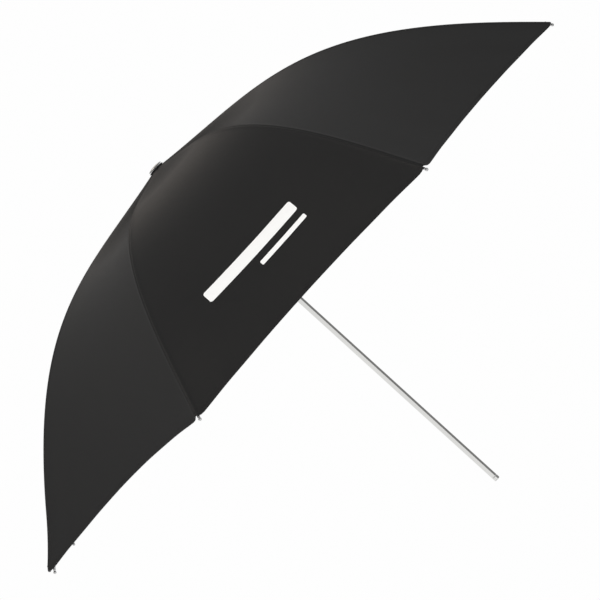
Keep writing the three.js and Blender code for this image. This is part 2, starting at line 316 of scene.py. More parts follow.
def width_at(lengths):
    """Half of a gore's width, at lengths along the canopy line."""
    return np.interp(lengths, table_length, table_point[:, 0]) * half_width_share


def cloth_patch(starts, ends, row_shares, hem_rows=0, end_lift=0):
    """Outside and inside points, lengths, and distances from mid-gore, of one patch of cloth. The last
    rows, where the hem is turned in, are thicker."""
    lengths = starts + (ends - starts) * row_shares[:, None]
    width = width_at(lengths)
    columns = np.arange(lengths.shape[1])
    offsets = np.take_along_axis(column_offsets(width), columns[None, :, None], axis=2)[..., 0]
    fold = np.zeros(len(row_shares))
    fold[len(fold) - hem_rows:] = HEM_FOLD
    layers = [canopy_points(lengths, offsets, depth, end_lift)
              for depth in (0, CLOTH_THICKNESS + fold[:, None])]
    return layers, lengths, width - offsets, hem_rows


def node_group(name, inputs, outputs):
    """An empty shader group with named sockets, and its input and output nodes."""
    group = bpy.data.node_groups.new(name, "ShaderNodeTree")
    for label, kind, value in inputs:
        socket = group.interface.new_socket(label, in_out="INPUT", socket_type=kind)
        if value is not None:
            socket.default_value = value
    for label, kind in outputs:
        group.interface.new_socket(label, in_out="OUTPUT", socket_type=kind)
    return group, group.nodes.new("NodeGroupInput"), group.nodes.new("NodeGroupOutput")


def maths(tree, operation, first, second=None, third=None):
    """A Math node fed by sockets or numbers; its result socket."""
    node = tree.nodes.new("ShaderNodeMath")
    node.operation = operation
    for socket, value in zip(node.inputs, (first, second, third)):
        if value is None:
            continue
        if isinstance(value, (int, float)):
            socket.default_value = value
        else:
            tree.links.new(value, socket)
    return node.outputs[0]


def vector_maths(tree, operation, first, second):
    node = tree.nodes.new("ShaderNodeVectorMath")
    node.operation = operation
    for socket, value in zip(node.inputs, (first, second)):
        if isinstance(value, tuple):
            socket.default_value = value
        else:
            tree.links.new(value, socket)
    return node.outputs[0]


def weave_group():
    """Plain weave: warp threads pass over and under the weft, one after the other."""
    group, given, result = node_group(
        "plain_weave",
        [("Vector", "NodeSocketVector", None), ("Thread", "NodeSocketFloat", 0.0003)],
        [("Height", "NodeSocketFloat"), ("Over", "NodeSocketFloat")],
    )
    parts = group.nodes.new("ShaderNodeSeparateXYZ")
    group.links.new(given.outputs["Vector"], parts.inputs[0])
    warp = maths(group, "DIVIDE", parts.outputs["X"], given.outputs["Thread"])
    weft = maths(group, "DIVIDE", parts.outputs["Y"], given.outputs["Thread"])
    cell = maths(group, "ADD", maths(group, "FLOOR", warp), maths(group, "FLOOR", weft))
    over = maths(group, "PINGPONG", cell, 1)
    round_warp = maths(group, "SINE", maths(group, "MULTIPLY", maths(group, "FRACT", warp), math.pi))
    round_weft = maths(group, "SINE", maths(group, "MULTIPLY", maths(group, "FRACT", weft), math.pi))
    mix = add_node(group, "ShaderNodeMix", Factor=over, A=round_warp, B=round_weft)
    feed(group, result, Height=mix.outputs["Result"], Over=over)
    return group


def bar_group():
    """A filled bar with round corners, as a mask on a flat pattern."""
    group, given, result = node_group(
        "printed_bar",
        [("Vector", "NodeSocketVector", None), ("Centre", "NodeSocketVector", None),
         ("Half Size", "NodeSocketVector", None), ("Corner", "NodeSocketFloat", 0.002)],
        [("Mask", "NodeSocketFloat")],
    )
    away = vector_maths(group, "SUBTRACT", given.outputs["Vector"], given.outputs["Centre"])
    folded = vector_maths(group, "ABSOLUTE", away, (0, 0, 0))
    beyond = vector_maths(group, "SUBTRACT", folded, given.outputs["Half Size"])
    parts = group.nodes.new("ShaderNodeSeparateXYZ")
    group.links.new(beyond, parts.inputs[0])
    out_x = maths(group, "MAXIMUM", maths(group, "ADD", parts.outputs["X"], given.outputs["Corner"]), 0)
    out_y = maths(group, "MAXIMUM", maths(group, "ADD", parts.outputs["Y"], given.outputs["Corner"]), 0)
    square = maths(group, "MULTIPLY_ADD", out_x, out_x, maths(group, "MULTIPLY", out_y, out_y))
    distance = maths(group, "SQRT", square)
    feed(group, result, Mask=maths(group, "LESS_THAN", distance, given.outputs["Corner"]))
    return group


def mix_colour(tree, first, second, factor, blend="MIX"):
    """Two colours mixed, where the factor and the colours are sockets or constants."""
    settings = {"data_type": "RGBA", "blend_type": blend}
    return add_node(tree, "ShaderNodeMix", settings, Factor=factor, A=first, B=second).outputs["Result"]


def placed(tree, group, **values):
    """A group placed in a material, with its own values or links."""
    return add_node(tree, "ShaderNodeGroup", {"node_tree": group}, **values)


def new_material(name, **constants):
    """A material's tree, its Principled BSDF with constants set, and its coordinates."""
    material = bpy.data.materials.new(name)
    material.use_nodes = True
    tree = material.node_tree
    shader = tree.nodes["Principled BSDF"]
    for label, value in constants.items():
        shader.inputs[label.replace("_", " ")].default_value = value
    return material, tree, shader, tree.nodes.new("ShaderNodeTexCoord")


def noise(tree, vector, scale, detail=3):
    return add_node(tree, "ShaderNodeTexNoise", Scale=scale, Detail=detail, Vector=vector).outputs["Fac"]


def ramp(tree, factor, low, high, low_colour, high_colour):
    node = tree.nodes.new("ShaderNodeValToRGB")
    node.color_ramp.elements[0].position = low
    node.color_ramp.elements[1].position = high
    node.color_ramp.elements[0].color = (*low_colour, 1)
    node.color_ramp.elements[1].color = (*high_colour, 1)
    tree.links.new(factor, node.inputs["Fac"])
    return node.outputs["Color"]


def bump(tree, shader, height, distance, strength):
    node = add_node(tree, "ShaderNodeBump", Distance=distance, Strength=strength, Height=height)
    feed(tree, shader, Normal=node.outputs["Normal"])


THREAD_PITCH = 0.00032
weave = weave_group()
printed_bar = bar_group()


def black_cloth(name, printed):
    """Close black nylon with a faint nap, and the printed bars where there are any."""
    material, tree, shader, coordinates = new_material(
        name, Sheen_Weight=0.02, Sheen_Roughness=0.4, Sheen_Tint=(1, 0.95, 0.88, 1))
    woven = placed(tree, weave, Vector=coordinates.outputs["UV"], Thread=THREAD_PITCH)
    slow = noise(tree, coordinates.outputs["Object"], 9)
    colour = ramp(tree, slow, 0.3, 0.75, (0.0075, 0.0075, 0.0077), (0.0098, 0.0096, 0.0095))
    # The weave's low parts are painted darker: painted shade in the hollows between the threads.
    shade = ramp(tree, woven.outputs["Height"], 0, 1, (0.4, 0.4, 0.4), (1, 1, 1))
    cloth_colour = mix_colour(tree, colour, shade, 0.25, "MULTIPLY")
    rough = map_range(tree, slow, To_Min=0.42, To_Max=0.52)
    # The nap dulls the cloth where it is seen at a slant.
    slant = tree.nodes.new("ShaderNodeLayerWeight")
    dulled = map_range(tree, slant.outputs["Facing"], From_Min=0.82, To_Max=0.3)
    feed(tree, shader, Roughness=maths(tree, "ADD", rough, dulled),
         Specular_IOR_Level=maths(tree, "MULTIPLY_ADD", dulled, -0.9, 0.3))
    if printed:
        bars = [placed(tree, printed_bar, Vector=coordinates.outputs["UV"], Centre=centre,
                       Half_Size=half, Corner=corner).outputs["Mask"]
                for centre, half, corner in printed]
        mask = maths(tree, "MAXIMUM", bars[0], bars[1])
        cloth_colour = mix_colour(tree, cloth_colour, (0.9, 0.9, 0.89, 1), mask)
    feed(tree, shader, Base_Color=cloth_colour)
    bump(tree, shader, woven.outputs["Height"], 0.00006, 0.35)
    return material


def silver_lining():
    """The metallised inside of the cloth, softly creased."""
    material, tree, shader, coordinates = new_material("silver_lining", Metallic=0.85, Roughness=0.34)
    woven = placed(tree, weave, Vector=coordinates.outputs["UV"], Thread=THREAD_PITCH)
    crease = noise(tree, coordinates.outputs["Object"], 26, 2)
    # The lining's colour follows the creases and is darker where they sink: painted shade in their hollows.
    colour = ramp(tree, crease, 0.3, 0.7, (0.74, 0.74, 0.75), (0.80, 0.80, 0.81))
    feed(tree, shader, Base_Color=colour)
    height = maths(tree, "ADD", maths(tree, "MULTIPLY", woven.outputs["Height"], 0.2),
                   maths(tree, "MULTIPLY", crease, 0.5))
    bump(tree, shader, height, 0.0003, 0.3)
    return material


# A plain printed mark of two bars stands on the front gore, parallel to the hem: places and half sizes
# are measured from the gore's middle and along the canopy line from the apex.
printed_bars = [
    ((-0.008, 0.3895, 0), (0.0585, 0.0085, 0.01), 0.0028),
    ((0.0205, 0.4115, 0), (0.030, 0.0032, 0.01), 0.0014),
]
outside_cloth = black_cloth("black_cloth", None)
printed_cloth = black_cloth("printed_cloth", printed_bars)
lining = silver_lining()


def rib_azimuth(k):
    return -math.pi / 2 + HALF_GORE * (2 * k - 1)


def turned(points, k):
    """Points of the rib at azimuth 0, carried round to rib k."""
    turn = np.array(Matrix.Rotation(rib_azimuth(k), 3, "Z"))
    return np.asarray(points) @ turn.T


def add_object(name, mesh, *materials):
    for material in materials:
        mesh.materials.append(material)
    piece = bpy.data.objects.new(name, mesh)
    bpy.context.scene.collection.objects.link(piece)
    return piece


def cloth_mesh(name, before, after, k):
    """A thin closed shell over rib k, from the patches on its two sides."""
    rows, sides = after[1].shape
    middle = sides - 1
    count = 2 * sides - 1
    points, flat_cut = [], []
    for layer in (0, 1):
        mirrored = before[0][layer][:, :0:-1] * (1, -1, 1)
        both = np.concatenate([mirrored, after[0][layer]], axis=1)
        points.append(turned(both.reshape(-1, 3), k))
    lengths = np.concatenate([before[1][:, :0:-1], after[1]], axis=1)
    to_middle = np.concatenate([before[2][:, :0:-1], after[2]], axis=1)
    at = lambda layer, i, j: (layer * rows + i) * count + j
    faces, marks = [], []
    for i in range(rows - 1):
        for j in range(count - 1):
            faces.append((at(0, i, j), at(0, i + 1, j), at(0, i + 1, j + 1), at(0, i, j + 1)))
            faces.append((at(1, i, j), at(1, i, j + 1), at(1, i + 1, j + 1), at(1, i + 1, j)))
            hem = i >= rows - 1 - after[3]
            marks += [("outside", j), ("turned hem" if hem else "inside", j)]
        for j in (0, count - 1):
            rim = (at(0, i, j), at(1, i, j), at(1, i + 1, j), at(0, i + 1, j))
            faces.append(rim if j == 0 else rim[::-1])
            marks.append(("rim", min(j, count - 2)))
    for j in range(count - 1):
        for i in (0, rows - 1):
            rim = (at(0, i, j), at(0, i, j + 1), at(1, i, j + 1), at(1, i, j))
            faces.append(rim if i == 0 else rim[::-1])
            marks.append(("rim", j))
    mesh = bpy.data.meshes.new(name)
    mesh.from_pydata(np.concatenate(points).tolist(), [], faces)
    flat = mesh.uv_layers.new(name="flat_cut")
    on_front = {RIBS: range(middle, count), 1: range(0, middle)}.get(k, ())
    for face, (kind, first) in zip(mesh.polygons, marks):
        face.use_smooth = True
        face.material_index = 1 if kind == "inside" else 2 if kind == "outside" and first in on_front else 0
        side = -1 if first >= middle else 1
        for loop in face.loop_indices:
            row, column = divmod(mesh.loops[loop].vertex_index % (rows * count), count)
            flat.data[loop].uv = (side * to_middle[row, column], lengths[row, column])
    rims = {frozenset(pair) for face, mark in zip(faces, marks) if mark[0] == "rim"
            for pair in zip(face, face[1:] + face[:1])}
    for edge in mesh.edges:
        edge.use_edge_sharp = frozenset(edge.vertices) in rims
    mesh.update()
    return mesh


def shares_with(start_rows, middle_steps, end_rows, length):
    """Shares of a length with rows at stated distances from its start and end, even between them."""
    first = np.array(start_rows) / length
    last = 1 - np.array(end_rows)[::-1] / length
    return np.concatenate([first, np.linspace(first[-1], last[0], middle_steps)[1:-1], last])


side_columns = len(seam_columns) + OPEN_COLUMNS
cut_rows = [0, 0.0008, 0.002, 0.004]
hem_edge_rows = [0, 0.0003, 0.0008, 0.002, 0.004, 0.0058, HEM_WIDTH]
cut = cut_length(side_columns)


def inner_patch(start, end, middle_steps):
    """A band of cloth between two lengths, for either side of any rib."""
    starts, ends = np.broadcast_to(start, side_columns), np.broadcast_to(end, side_columns)
    return cloth_patch(starts, ends, shares_with(cut_rows, middle_steps, cut_rows, ends[0] - starts[0]))


def outer_patch(rib, gore):
    """The cloth from the cut to the hem, between a rib and the middle of the gore beside it."""
    hem = hem_length(side_columns, scallops[gore])
    shares = shares_with(cut_rows, 50, hem_edge_rows + [0.008, 0.012], hem[0] - cut[0])
    return cloth_patch(cut, hem, shares, len(hem_edge_rows), end_lift_of(rib))


def end_lift_of(rib):
    return end_lifts.get(rib, USUAL_LIFT)


def gathered(piece):
    """Gives a piece a mesh of its own."""
    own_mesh(piece)


def before_rib(k):
    """The gore on the clockwise side of rib k."""
    return k - 1 or RIBS


# The bands of a rib's inner half: where each ends along the canopy line, and its rows.
TOP_START, TOP_END = 0.0042, 0.0152
band_ends = [("top", TOP_END, 3), ("crown", 0.026, 3), ("collar", 0.042, 4), ("neck", 0.066, 6),
             ("shoulder", 0.1, 8), ("inner", cut, 20)]
inner_patches = {}
band_start = TOP_START
for band, band_end, band_rows in band_ends:
    inner_patches[band] = inner_patch(band_start, band_end, band_rows)
    band_start = band_end

for k in range(1, RIBS + 1):
    bands = {band: (patch, patch, f"rib_{k}", "inner") for band, patch in inner_patches.items()}
    bands["outer"] = (outer_patch(k, before_rib(k)), outer_patch(k, k), f"rib_end_{k}", "outer")
    for band, (before, after, body, part) in bands.items():
        name = f"cloth_{band}_{k}"
        cloth = add_object(name, cloth_mesh(name, before, after, k), outside_cloth, lining, printed_cloth)
        if band == "top":
            over, _ = canopy_line(np.interp([TOP_START, TOP_END], table_length, table_share))
            start, end = (tuple(turned([(out, 0, up)], k)[0]) for out, up in over)
            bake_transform(cloth)
        else:
            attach(cloth, body)
        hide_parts(f"canopy_{part}_{k}")
        if band != "top":
            gathered(cloth)

# ---------------------------------------------------------------------------------------------------
# Sewing: the gores' joined edges lie as a narrow silver strip beside each seam, inside. Black thread
# runs along the strips and round the hem, and loops tie the canopy to the ribs.
ALLOWANCE = 0.0055
SEAM_STITCH = 0.0034
HEM_STITCH = 0.0046
TIE_RADIUS = 0.0019
RIB_DROP = 0.003
STRIP_THICKNESS = 0.0004
seam_thread = {"Pitch": 0.0031, "Length": 0.0025, "Width": 0.00034}
tie_thread = {"Pitch": 0.0004, "Length": 0.0009, "Width": 0.0004}
thread_material, thread_tree, thread_shader, thread_coordinates = new_material(
    "black_thread", Specular_IOR_Level=0.35, Roughness=0.5)
twist = noise(thread_tree, thread_coordinates.outputs["Object"], 4000)
# The thread's colour follows its twist and is darker where the bump sinks: painted shade in the grooves.
thread_colour = ramp(thread_tree, twist, 0.35, 0.65, (0.008, 0.008, 0.008), (0.022, 0.022, 0.022))
feed(thread_tree, thread_shader, Base_Color=thread_colour)
bump(thread_tree, thread_shader, twist, 0.00005, 0.5)


def finished(tree, instances, given, result):
    """Ends a tree in plain geometry of the given material."""
    real = add_node(tree, "GeometryNodeRealizeInstances", Geometry=instances)
    look = add_node(tree, "GeometryNodeSetMaterial", Geometry=real.outputs["Geometry"],
                    Material=given.outputs["Material"])
    feed(tree, result, Geometry=look.outputs["Geometry"])


def node_tree(name, **sockets):
    """An empty geometry tree with named inputs, and its input and output nodes."""
    tree = bpy.data.node_groups.new(name, "GeometryNodeTree")
    for label, kind in sockets.items():
        tree.interface.new_socket(label, in_out="INPUT", socket_type="NodeSocket" + kind)
    tree.interface.new_socket("Geometry", in_out="OUTPUT", socket_type="NodeSocketGeometry")
    return tree, tree.nodes.new("NodeGroupInput"), tree.nodes.new("NodeGroupOutput")


def small_bead(tree, given, segments, rings):
    """A sphere to repeat, and the scale that makes it Width across and Length long."""
    bead = add_node(tree, "GeometryNodeMeshUVSphere", Segments=segments, Rings=rings, Radius=0.5)
    width, length = given.outputs["Width"], given.outputs["Length"]
    size = add_node(tree, "ShaderNodeCombineXYZ", X=width, Y=width, Z=length)
    return bead.outputs["Mesh"], size.outputs["Vector"]


def stitch_tree():
    """Stitches along the edges of a mesh: one thread bead after another, at an even pitch."""
    tree, given, result = node_tree("stitches", Geometry="Geometry", Pitch="Float", Length="Float",
                                    Width="Float", Material="Material")
    line = add_node(tree, "GeometryNodeMeshToCurve", Mesh=given.outputs["Geometry"])
    steps = add_node(tree, "GeometryNodeCurveToPoints", {"mode": "LENGTH"},
                     Curve=line.outputs["Curve"], Length=given.outputs["Pitch"])
    bead, size = small_bead(tree, given, 6, 5)
    spread = add_node(tree, "GeometryNodeInstanceOnPoints", Points=steps.outputs["Points"],
                      Rotation=steps.outputs["Rotation"], Instance=bead, Scale=size)
    finished(tree, spread.outputs["Instances"], given, result)
    return tree


def baked(piece):
    """Puts what a piece's modifiers make in their place, with smooth faces."""
    evaluated = piece.evaluated_get(bpy.context.evaluated_depsgraph_get())
    mesh = bpy.data.meshes.new_from_object(evaluated)
    piece.modifiers.clear()
    piece.data = mesh
    mesh.name = piece.name
    for face in mesh.polygons:
        face.use_smooth = True
    return mesh


def grown(name, mesh, tree, **values):
    """The mesh that a node tree makes on a base mesh, as an object of its own."""
    piece = bpy.data.objects.new(name, mesh)
    bpy.context.scene.collection.objects.link(piece)
    modifier = piece.modifiers.new("nodes", "NODES")
    modifier.node_group = tree
    sockets = {item.name: item.identifier for item in tree.interface.items_tree if item.in_out == "INPUT"}
    for label, value in values.items():
        modifier[sockets[label]] = value
    baked(piece)
    return piece


def line_mesh(name, lines, k):
    """Open lines of points over azimuth 0, turned to rib k, as the edges of one mesh."""
    points, edges = [], []
    for line in lines:
        edges += [(len(points) + i, len(points) + i + 1) for i in range(len(line) - 1)]
        points += turned(line, k).tolist()
    mesh = bpy.data.meshes.new(name)
    mesh.from_pydata(points, edges, [])
    return mesh


def tie_line(length):
    """A closed loop of thread round the rib and through the seam, square to the rib."""
    over, tangent = canopy_line(np.interp(length, table_length, table_share))
    turns = np.linspace(0, 2 * math.pi, 25)
    up = TIE_RADIUS * np.cos(turns) - RIB_DROP + 0.0001
    side = 0.8 * TIE_RADIUS * np.sin(turns)
    return np.stack([over[0] - tangent[1] * up, side, over[1] + tangent[0] * up], axis=-1)


def strip_mesh(name, lengths, k):
    """The joined edges beside the seam: a thin closed strip against the lining."""
    inside = CLOTH_THICKNESS + 0.00012
    top = inside + STRIP_THICKNESS
    edges = [(0.0004, inside), (ALLOWANCE, inside), (ALLOWANCE, top), (0.0004, top)]
    rings = np.stack([canopy_points(lengths, np.full(len(lengths), offset), depth)
                      for offset, depth in edges], axis=1)
    count = len(edges)
    faces = [tuple(range(count))[::-1]]
    for i in range(len(lengths) - 1):
        for j in range(count):
            n = (j + 1) % count
            faces.append((count * i + j, count * i + n, count * (i + 1) + n, count * (i + 1) + j))
    faces.append(tuple(count * (len(lengths) - 1) + j for j in range(count)))
    mesh = bpy.data.meshes.new(name)
    mesh.from_pydata(turned(rings.reshape(-1, 3), k).tolist(), [], faces)
    oriented = bmesh.new()
    oriented.from_mesh(mesh)
    bmesh.ops.recalc_face_normals(oriented, faces=oriented.faces)
    oriented.to_mesh(mesh)
    oriented.free()
    flat = mesh.uv_layers.new(name="flat_cut")
    for loop in mesh.loops:
        row, edge = divmod(loop.vertex_index, count)
        flat.data[loop.index].uv = (edges[edge][0], lengths[row])
    return mesh


def hem_line(k, gore, side, depth):
    """The line of the hem's stitches on one side of rib k."""
    hem = hem_length(side_columns, scallops[gore]) - HEM_STITCH
    offsets = column_offsets(width_at(hem[0]))[:side_columns]
    points = canopy_points(hem[3:], offsets[3:], depth, end_lift_of(k))
    return points * (1, side, 1)


stitches = stitch_tree()
seam_depth = CLOTH_THICKNESS + 0.00055
SEAM_ROWS = 60
# Where each half's sewing starts and ends along the canopy line, and where its ties are.
seams = {
    "inner": ("rib", 0.016, cut[0] - 0.002, [0.06, 0.13]),
    "outer": ("rib_end", cut[0] + 0.002, 0.484, [0.29, 0.38, 0.46]),
}
for k in range(1, RIBS + 1):
    for part, (half, start, end, ties) in seams.items():
        body = f"{half}_{k}"
        lengths = np.linspace(start, end, SEAM_ROWS)
        lines = [canopy_points(lengths, np.full(SEAM_ROWS, SEAM_STITCH), seam_depth)]
        if part == "outer":
            for side, gore in ((-1, before_rib(k)), (1, k)):
                lines += [hem_line(k, gore, side, depth)
                          for depth in (-0.00004, CLOTH_THICKNESS + HEM_FOLD + 0.00004)]
        sewing = grown(f"stitches_{part}_{k}", line_mesh("lines", lines, k), stitches,
                       Material=thread_material, **seam_thread)
        tie_lines = [tie_line(length) for length in ties]
        loops = grown(f"ties_{part}_{k}", line_mesh("loops", tie_lines, k), stitches,
                      Material=thread_material, **tie_thread)
        strip = add_object(f"seam_strip_{part}_{k}", strip_mesh("strip", lengths, k), lining)
        for piece in (sewing, loops, strip):
            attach(piece, body)
        gathered(sewing)
        gathered(strip)

# ---------------------------------------------------------------------------------------------------
# Cap and washer: a low chromed button pressed into the top of the shaft, over a black moulded rosette
# that clamps the middle of the canopy.


def rounded(corners):
    """An outline from (x, y, radius) corners, each with a radius turned into a small curve."""
    outline = []
    for i, (x, y, radius) in enumerate(corners):
        here = Vector((x, y))
        if not radius:
            outline.append(here)
            continue
        ends = []
        for other in (corners[i - 1], corners[(i + 1) % len(corners)]):
            away = Vector(other[:2]) - here
            ends.append(here + away.normalized() * min(radius, away.length / 2))
        for step in range(5):
            t = step / 4
            outline.append((1 - t) ** 2 * ends[0] + 2 * t * (1 - t) * here + t**2 * ends[1])
    return [point for i, point in enumerate(outline) if (point - outline[i - 1]).length > 1e-7]


def millimetres(corners):
    """Corners given in millimetres, as metres."""
    return [tuple(value / 1000 for value in corner) for corner in corners]


def lathe(bm, outline, segments, place=Matrix.Identity(4)):
    """Turns an outline (radius, height) round Z: a ring, or a solid where it meets the axis."""
    rings = []
    for radius, height in outline:
        turns = 1 if radius < 1e-9 else segments
        angles = [2 * math.pi * i / segments for i in range(turns)]
        points = [Vector((radius * math.cos(angle), radius * math.sin(angle), height)) for angle in angles]
        rings.append([bm.verts.new(place @ point) for point in points])
    closed = len(rings[0]) > 1
    for first, second in zip(rings, rings[1:] + rings[:1] if closed else rings[1:]):
        for i in range(segments):
            j = (i + 1) % segments
            corners = [first[i % len(first)], first[j % len(first)],
                       second[j % len(second)], second[i % len(second)]]
            corners = list(dict.fromkeys(corners))
            if len(corners) > 2:
                bm.faces.new(corners)


SHARP = math.radians(32)
ROUND = 96


def shaped(name, bm, *materials):
    """A finished object from a bmesh: faces outwards, smooth but for its sharp edges."""
    bmesh.ops.recalc_face_normals(bm, faces=bm.faces)
    mesh = bpy.data.meshes.new(name)
    bm.to_mesh(mesh)
    bm.free()
    for face in mesh.polygons:
        face.use_smooth = True
    mesh.set_sharp_from_angle(angle=SHARP)
    return add_object(name, mesh, *materials)


def lathed(name, corners, segments, place, material):
    """A turned piece, from the corners of its outline in millimetres."""
    bm = bmesh.new()
    lathe(bm, rounded(millimetres(corners)), segments, place)
    return shaped(name, bm, material)


def fit_piece(piece, body, slot, *nodes):
    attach(piece, body)
    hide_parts(*nodes)
    return piece


def worn_group():
    """Fine grain over slow smudges: a roughness between two limits, a height and a tint."""
    group, given, result = node_group(
        "worn_surface",
        [("Vector", "NodeSocketVector", None), ("Grain", "NodeSocketFloat", 0.0004),
         ("Smudge", "NodeSocketFloat", 0.02), ("Smooth", "NodeSocketFloat", 0.2),
         ("Rough", "NodeSocketFloat", 0.3)],
        [("Roughness", "NodeSocketFloat"), ("Height", "NodeSocketFloat"), ("Tint", "NodeSocketColor")],
    )
    sizes = {}
    for label in ("Grain", "Smudge"):
        scaled = group.nodes.new("ShaderNodeVectorMath")
        scaled.operation = "SCALE"
        group.links.new(given.outputs["Vector"], scaled.inputs[0])
        group.links.new(maths(group, "DIVIDE", 1, given.outputs[label]), scaled.inputs["Scale"])
        sizes[label] = noise(group, scaled.outputs[0], 1)
    mixed = maths(group, "ADD", maths(group, "MULTIPLY", sizes["Smudge"], 0.75),
                  maths(group, "MULTIPLY", sizes["Grain"], 0.25))
    rough = map_range(group, mixed, From_Min=0.35, From_Max=0.65,
                      To_Min=given.outputs["Smooth"], To_Max=given.outputs["Rough"])
    tint = ramp(group, mixed, 0.3, 0.7, (0.88, 0.88, 0.88), (1, 1, 1))
    feed(group, result, Roughness=rough, Height=sizes["Grain"], Tint=tint)
    return group


worn_surface = worn_group()


def worn_material(name, colour, smooth, rough, grain, smudge, height, stretch=(1, 1, 1), **constants):
    """A metal or plastic whose grain may run long in one direction."""
    material, tree, shader, coordinates = new_material(name, **constants)
    along = vector_maths(tree, "MULTIPLY", coordinates.outputs["Object"], stretch)
    worn = placed(tree, worn_surface, Vector=along, Grain=grain, Smudge=smudge, Smooth=smooth, Rough=rough)
    tinted = mix_colour(tree, (*colour, 1), worn.outputs["Tint"], 1, "MULTIPLY")
    feed(tree, shader, Base_Color=tinted, Roughness=worn.outputs["Roughness"])
    bump(tree, shader, worn.outputs["Height"], height, 0.4)
    return material


chrome = worn_material("chrome", (0.84, 0.838, 0.82), 0.05, 0.13, 0.0012, 0.03, 0.000004,
                       stretch=(1, 1, 0.15), Metallic=1.0)
black_plastic = worn_material("black_plastic", (0.016, 0.016, 0.017), 0.38, 0.52, 0.0005, 0.008, 0.00003,
                              Specular_IOR_Level=0.45)
apex_place = Matrix.Translation((0, 0, TIP_HEIGHT + CANOPY_RISE))

cap_corners = [(0, -11, 0), (2.4, -11, 0), (2.6, -10.6, 0), (2.6, 1, 0), (9.0, 1, 0.15), (9.3, 1.2, 0.15),
               (9.1, 1.7, 0.3), (7.4, 2.3, 1.5), (4.2, 2.95, 1), (0, 3, 0)]
cap = lathed("cap_button", cap_corners, ROUND, apex_place, chrome)
fit_piece(cap, "shaft_assembly", "cap_chrome", "top_cap")

rosette_corners = [(3.9, -0.1, 0), (9.9, -1.1, 0.2), (10.0, -0.3, 0.3), (8.4, 0.2, 0.4), (3.9, 0.7, 0)]
rosette = lathed("rosette", rosette_corners, ROUND, apex_place, black_plastic)
fit_piece(rosette, "shaft_assembly", "black_plastic", "top_washer")

# ---------------------------------------------------------------------------------------------------
# Shaft: a drawn and chromed steel tube, rolled inwards at its free end round a steel plug, with a
# rolled groove that keeps the plug in, a slot for the catch and a cross hole for the stop pin.
SHAFT_RADIUS = 0.0035
GROOVE_HEIGHT = 0.0045
catch_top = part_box("catch_blade")[1][2]
stop_height = (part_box("stop_pin")[0][2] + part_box("stop_pin")[1][2]) / 2
shaft_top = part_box("shaft")[1][2]


def cut_away(piece, cutter_bm):
    """Cuts a solid out of a piece, and takes the cutter away again."""
    bmesh.ops.recalc_face_normals(cutter_bm, faces=cutter_bm.faces)
    cutter_mesh = bpy.data.meshes.new("cutter")
    cutter_bm.to_mesh(cutter_mesh)
    cutter_bm.free()
    cutter = bpy.data.objects.new("cutter", cutter_mesh)
    bpy.context.scene.collection.objects.link(cutter)
    boolean = piece.modifiers.new("cut", "BOOLEAN")
    boolean.operation = "DIFFERENCE"
    boolean.solver = "EXACT"
    boolean.object = cutter
    baked(piece).set_sharp_from_angle(angle=SHARP)
    bpy.data.objects.remove(cutter)
    return piece


def box(bm, low, high, place=Matrix.Identity(4)):
    low, high = Vector(low), Vector(high)
    size = Matrix.Diagonal((*(high - low), 1))
    bmesh.ops.create_cube(bm, size=1, matrix=place @ Matrix.Translation((low + high) / 2) @ size)


def across_pin(centre):
    """Turns a lathe's axis to lie along Y, through a point (out, up) of the plane Y = 0."""
    return Matrix.Translation((centre[0], 0, centre[1])) @ Matrix.Rotation(math.pi / 2, 4, "X")


tube = [(2.9, 0.35, 0), (3.0, 0.05, 0.1), (3.35, 0.05, 0.2), (3.5, 0.5, 0.3), (3.5, 3.9, 0), (3.47, 4.1, 0),
        (3.22, 4.4, 0.1), (3.22, 4.6, 0.1), (3.47, 4.9, 0), (3.5, 5.1, 0)]
tube = [(r, z + (1000 * GROOVE_HEIGHT - 4.5 if z > 1 else 0), bend) for r, z, bend in tube]
tube += [(3.5, 1000 * shaft_top - 0.2, 0), (3.3, 1000 * shaft_top, 0), (2.9, 1000 * shaft_top, 0)]
shaft = lathed("shaft_tube", tube, ROUND, Matrix.Identity(4), chrome)
cutter = bmesh.new()
box(cutter, (SHAFT_RADIUS / 2, -0.001, catch_top - 0.0194), (0.006, 0.001, catch_top + 0.0006))
lathe(cutter, [(0, -0.006), (0.0009, -0.006), (0.0009, 0.006), (0, 0.006)], 24, across_pin((0, stop_height)))
fit_piece(cut_away(shaft, cutter), "shaft_assembly", "shaft_chrome", "shaft")

plug_steel = worn_material("plug_steel", (0.42, 0.42, 0.43), 0.22, 0.36, 0.0004, 0.004, 0.00001,
                           Metallic=1.0)
plug_corners = [(0, 1.2, 0), (0.7, 0.4, 0.2), (0.8, 0.12, 0.15), (2.3, 0.12, 0.3), (2.6, 0.5, 0.2),
                (2.6, 14, 0), (0, 14, 0)]
plug = lathed("end_plug", plug_corners, 64, Matrix.Identity(4), plug_steel)
fit_piece(plug, "shaft_assembly", "plug_steel", "shaft_plug")

# ---------------------------------------------------------------------------------------------------
# Catch and stop pin: a sprung steel blade in the shaft, whose nose holds the runner up, and a short
# steel pin across the shaft that stops the runner.
EDGE_BREAK = 0.00012
bright_steel = worn_material("bright_steel", (0.62, 0.62, 0.63), 0.2, 0.34, 0.0006, 0.01, 0.000012,
                             Metallic=1.0)
pin_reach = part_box("stop_pin")[1][1] * 1000
pin_corners = [(0, -pin_reach, 0), (0.8, -pin_reach, 0.25), (0.8, pin_reach, 0.25), (0, pin_reach, 0)]
peg = lathed("stop_peg", pin_corners, 32, across_pin((0, stop_height)), bright_steel)
fit_piece(peg, "shaft_assembly", "plug_steel", "stop_pin")


def at_height(corners, height):
    """Corners in millimetres, lifted by a height in metres."""
    return [(r, z + 1000 * height, bend) for r, z, bend in corners]


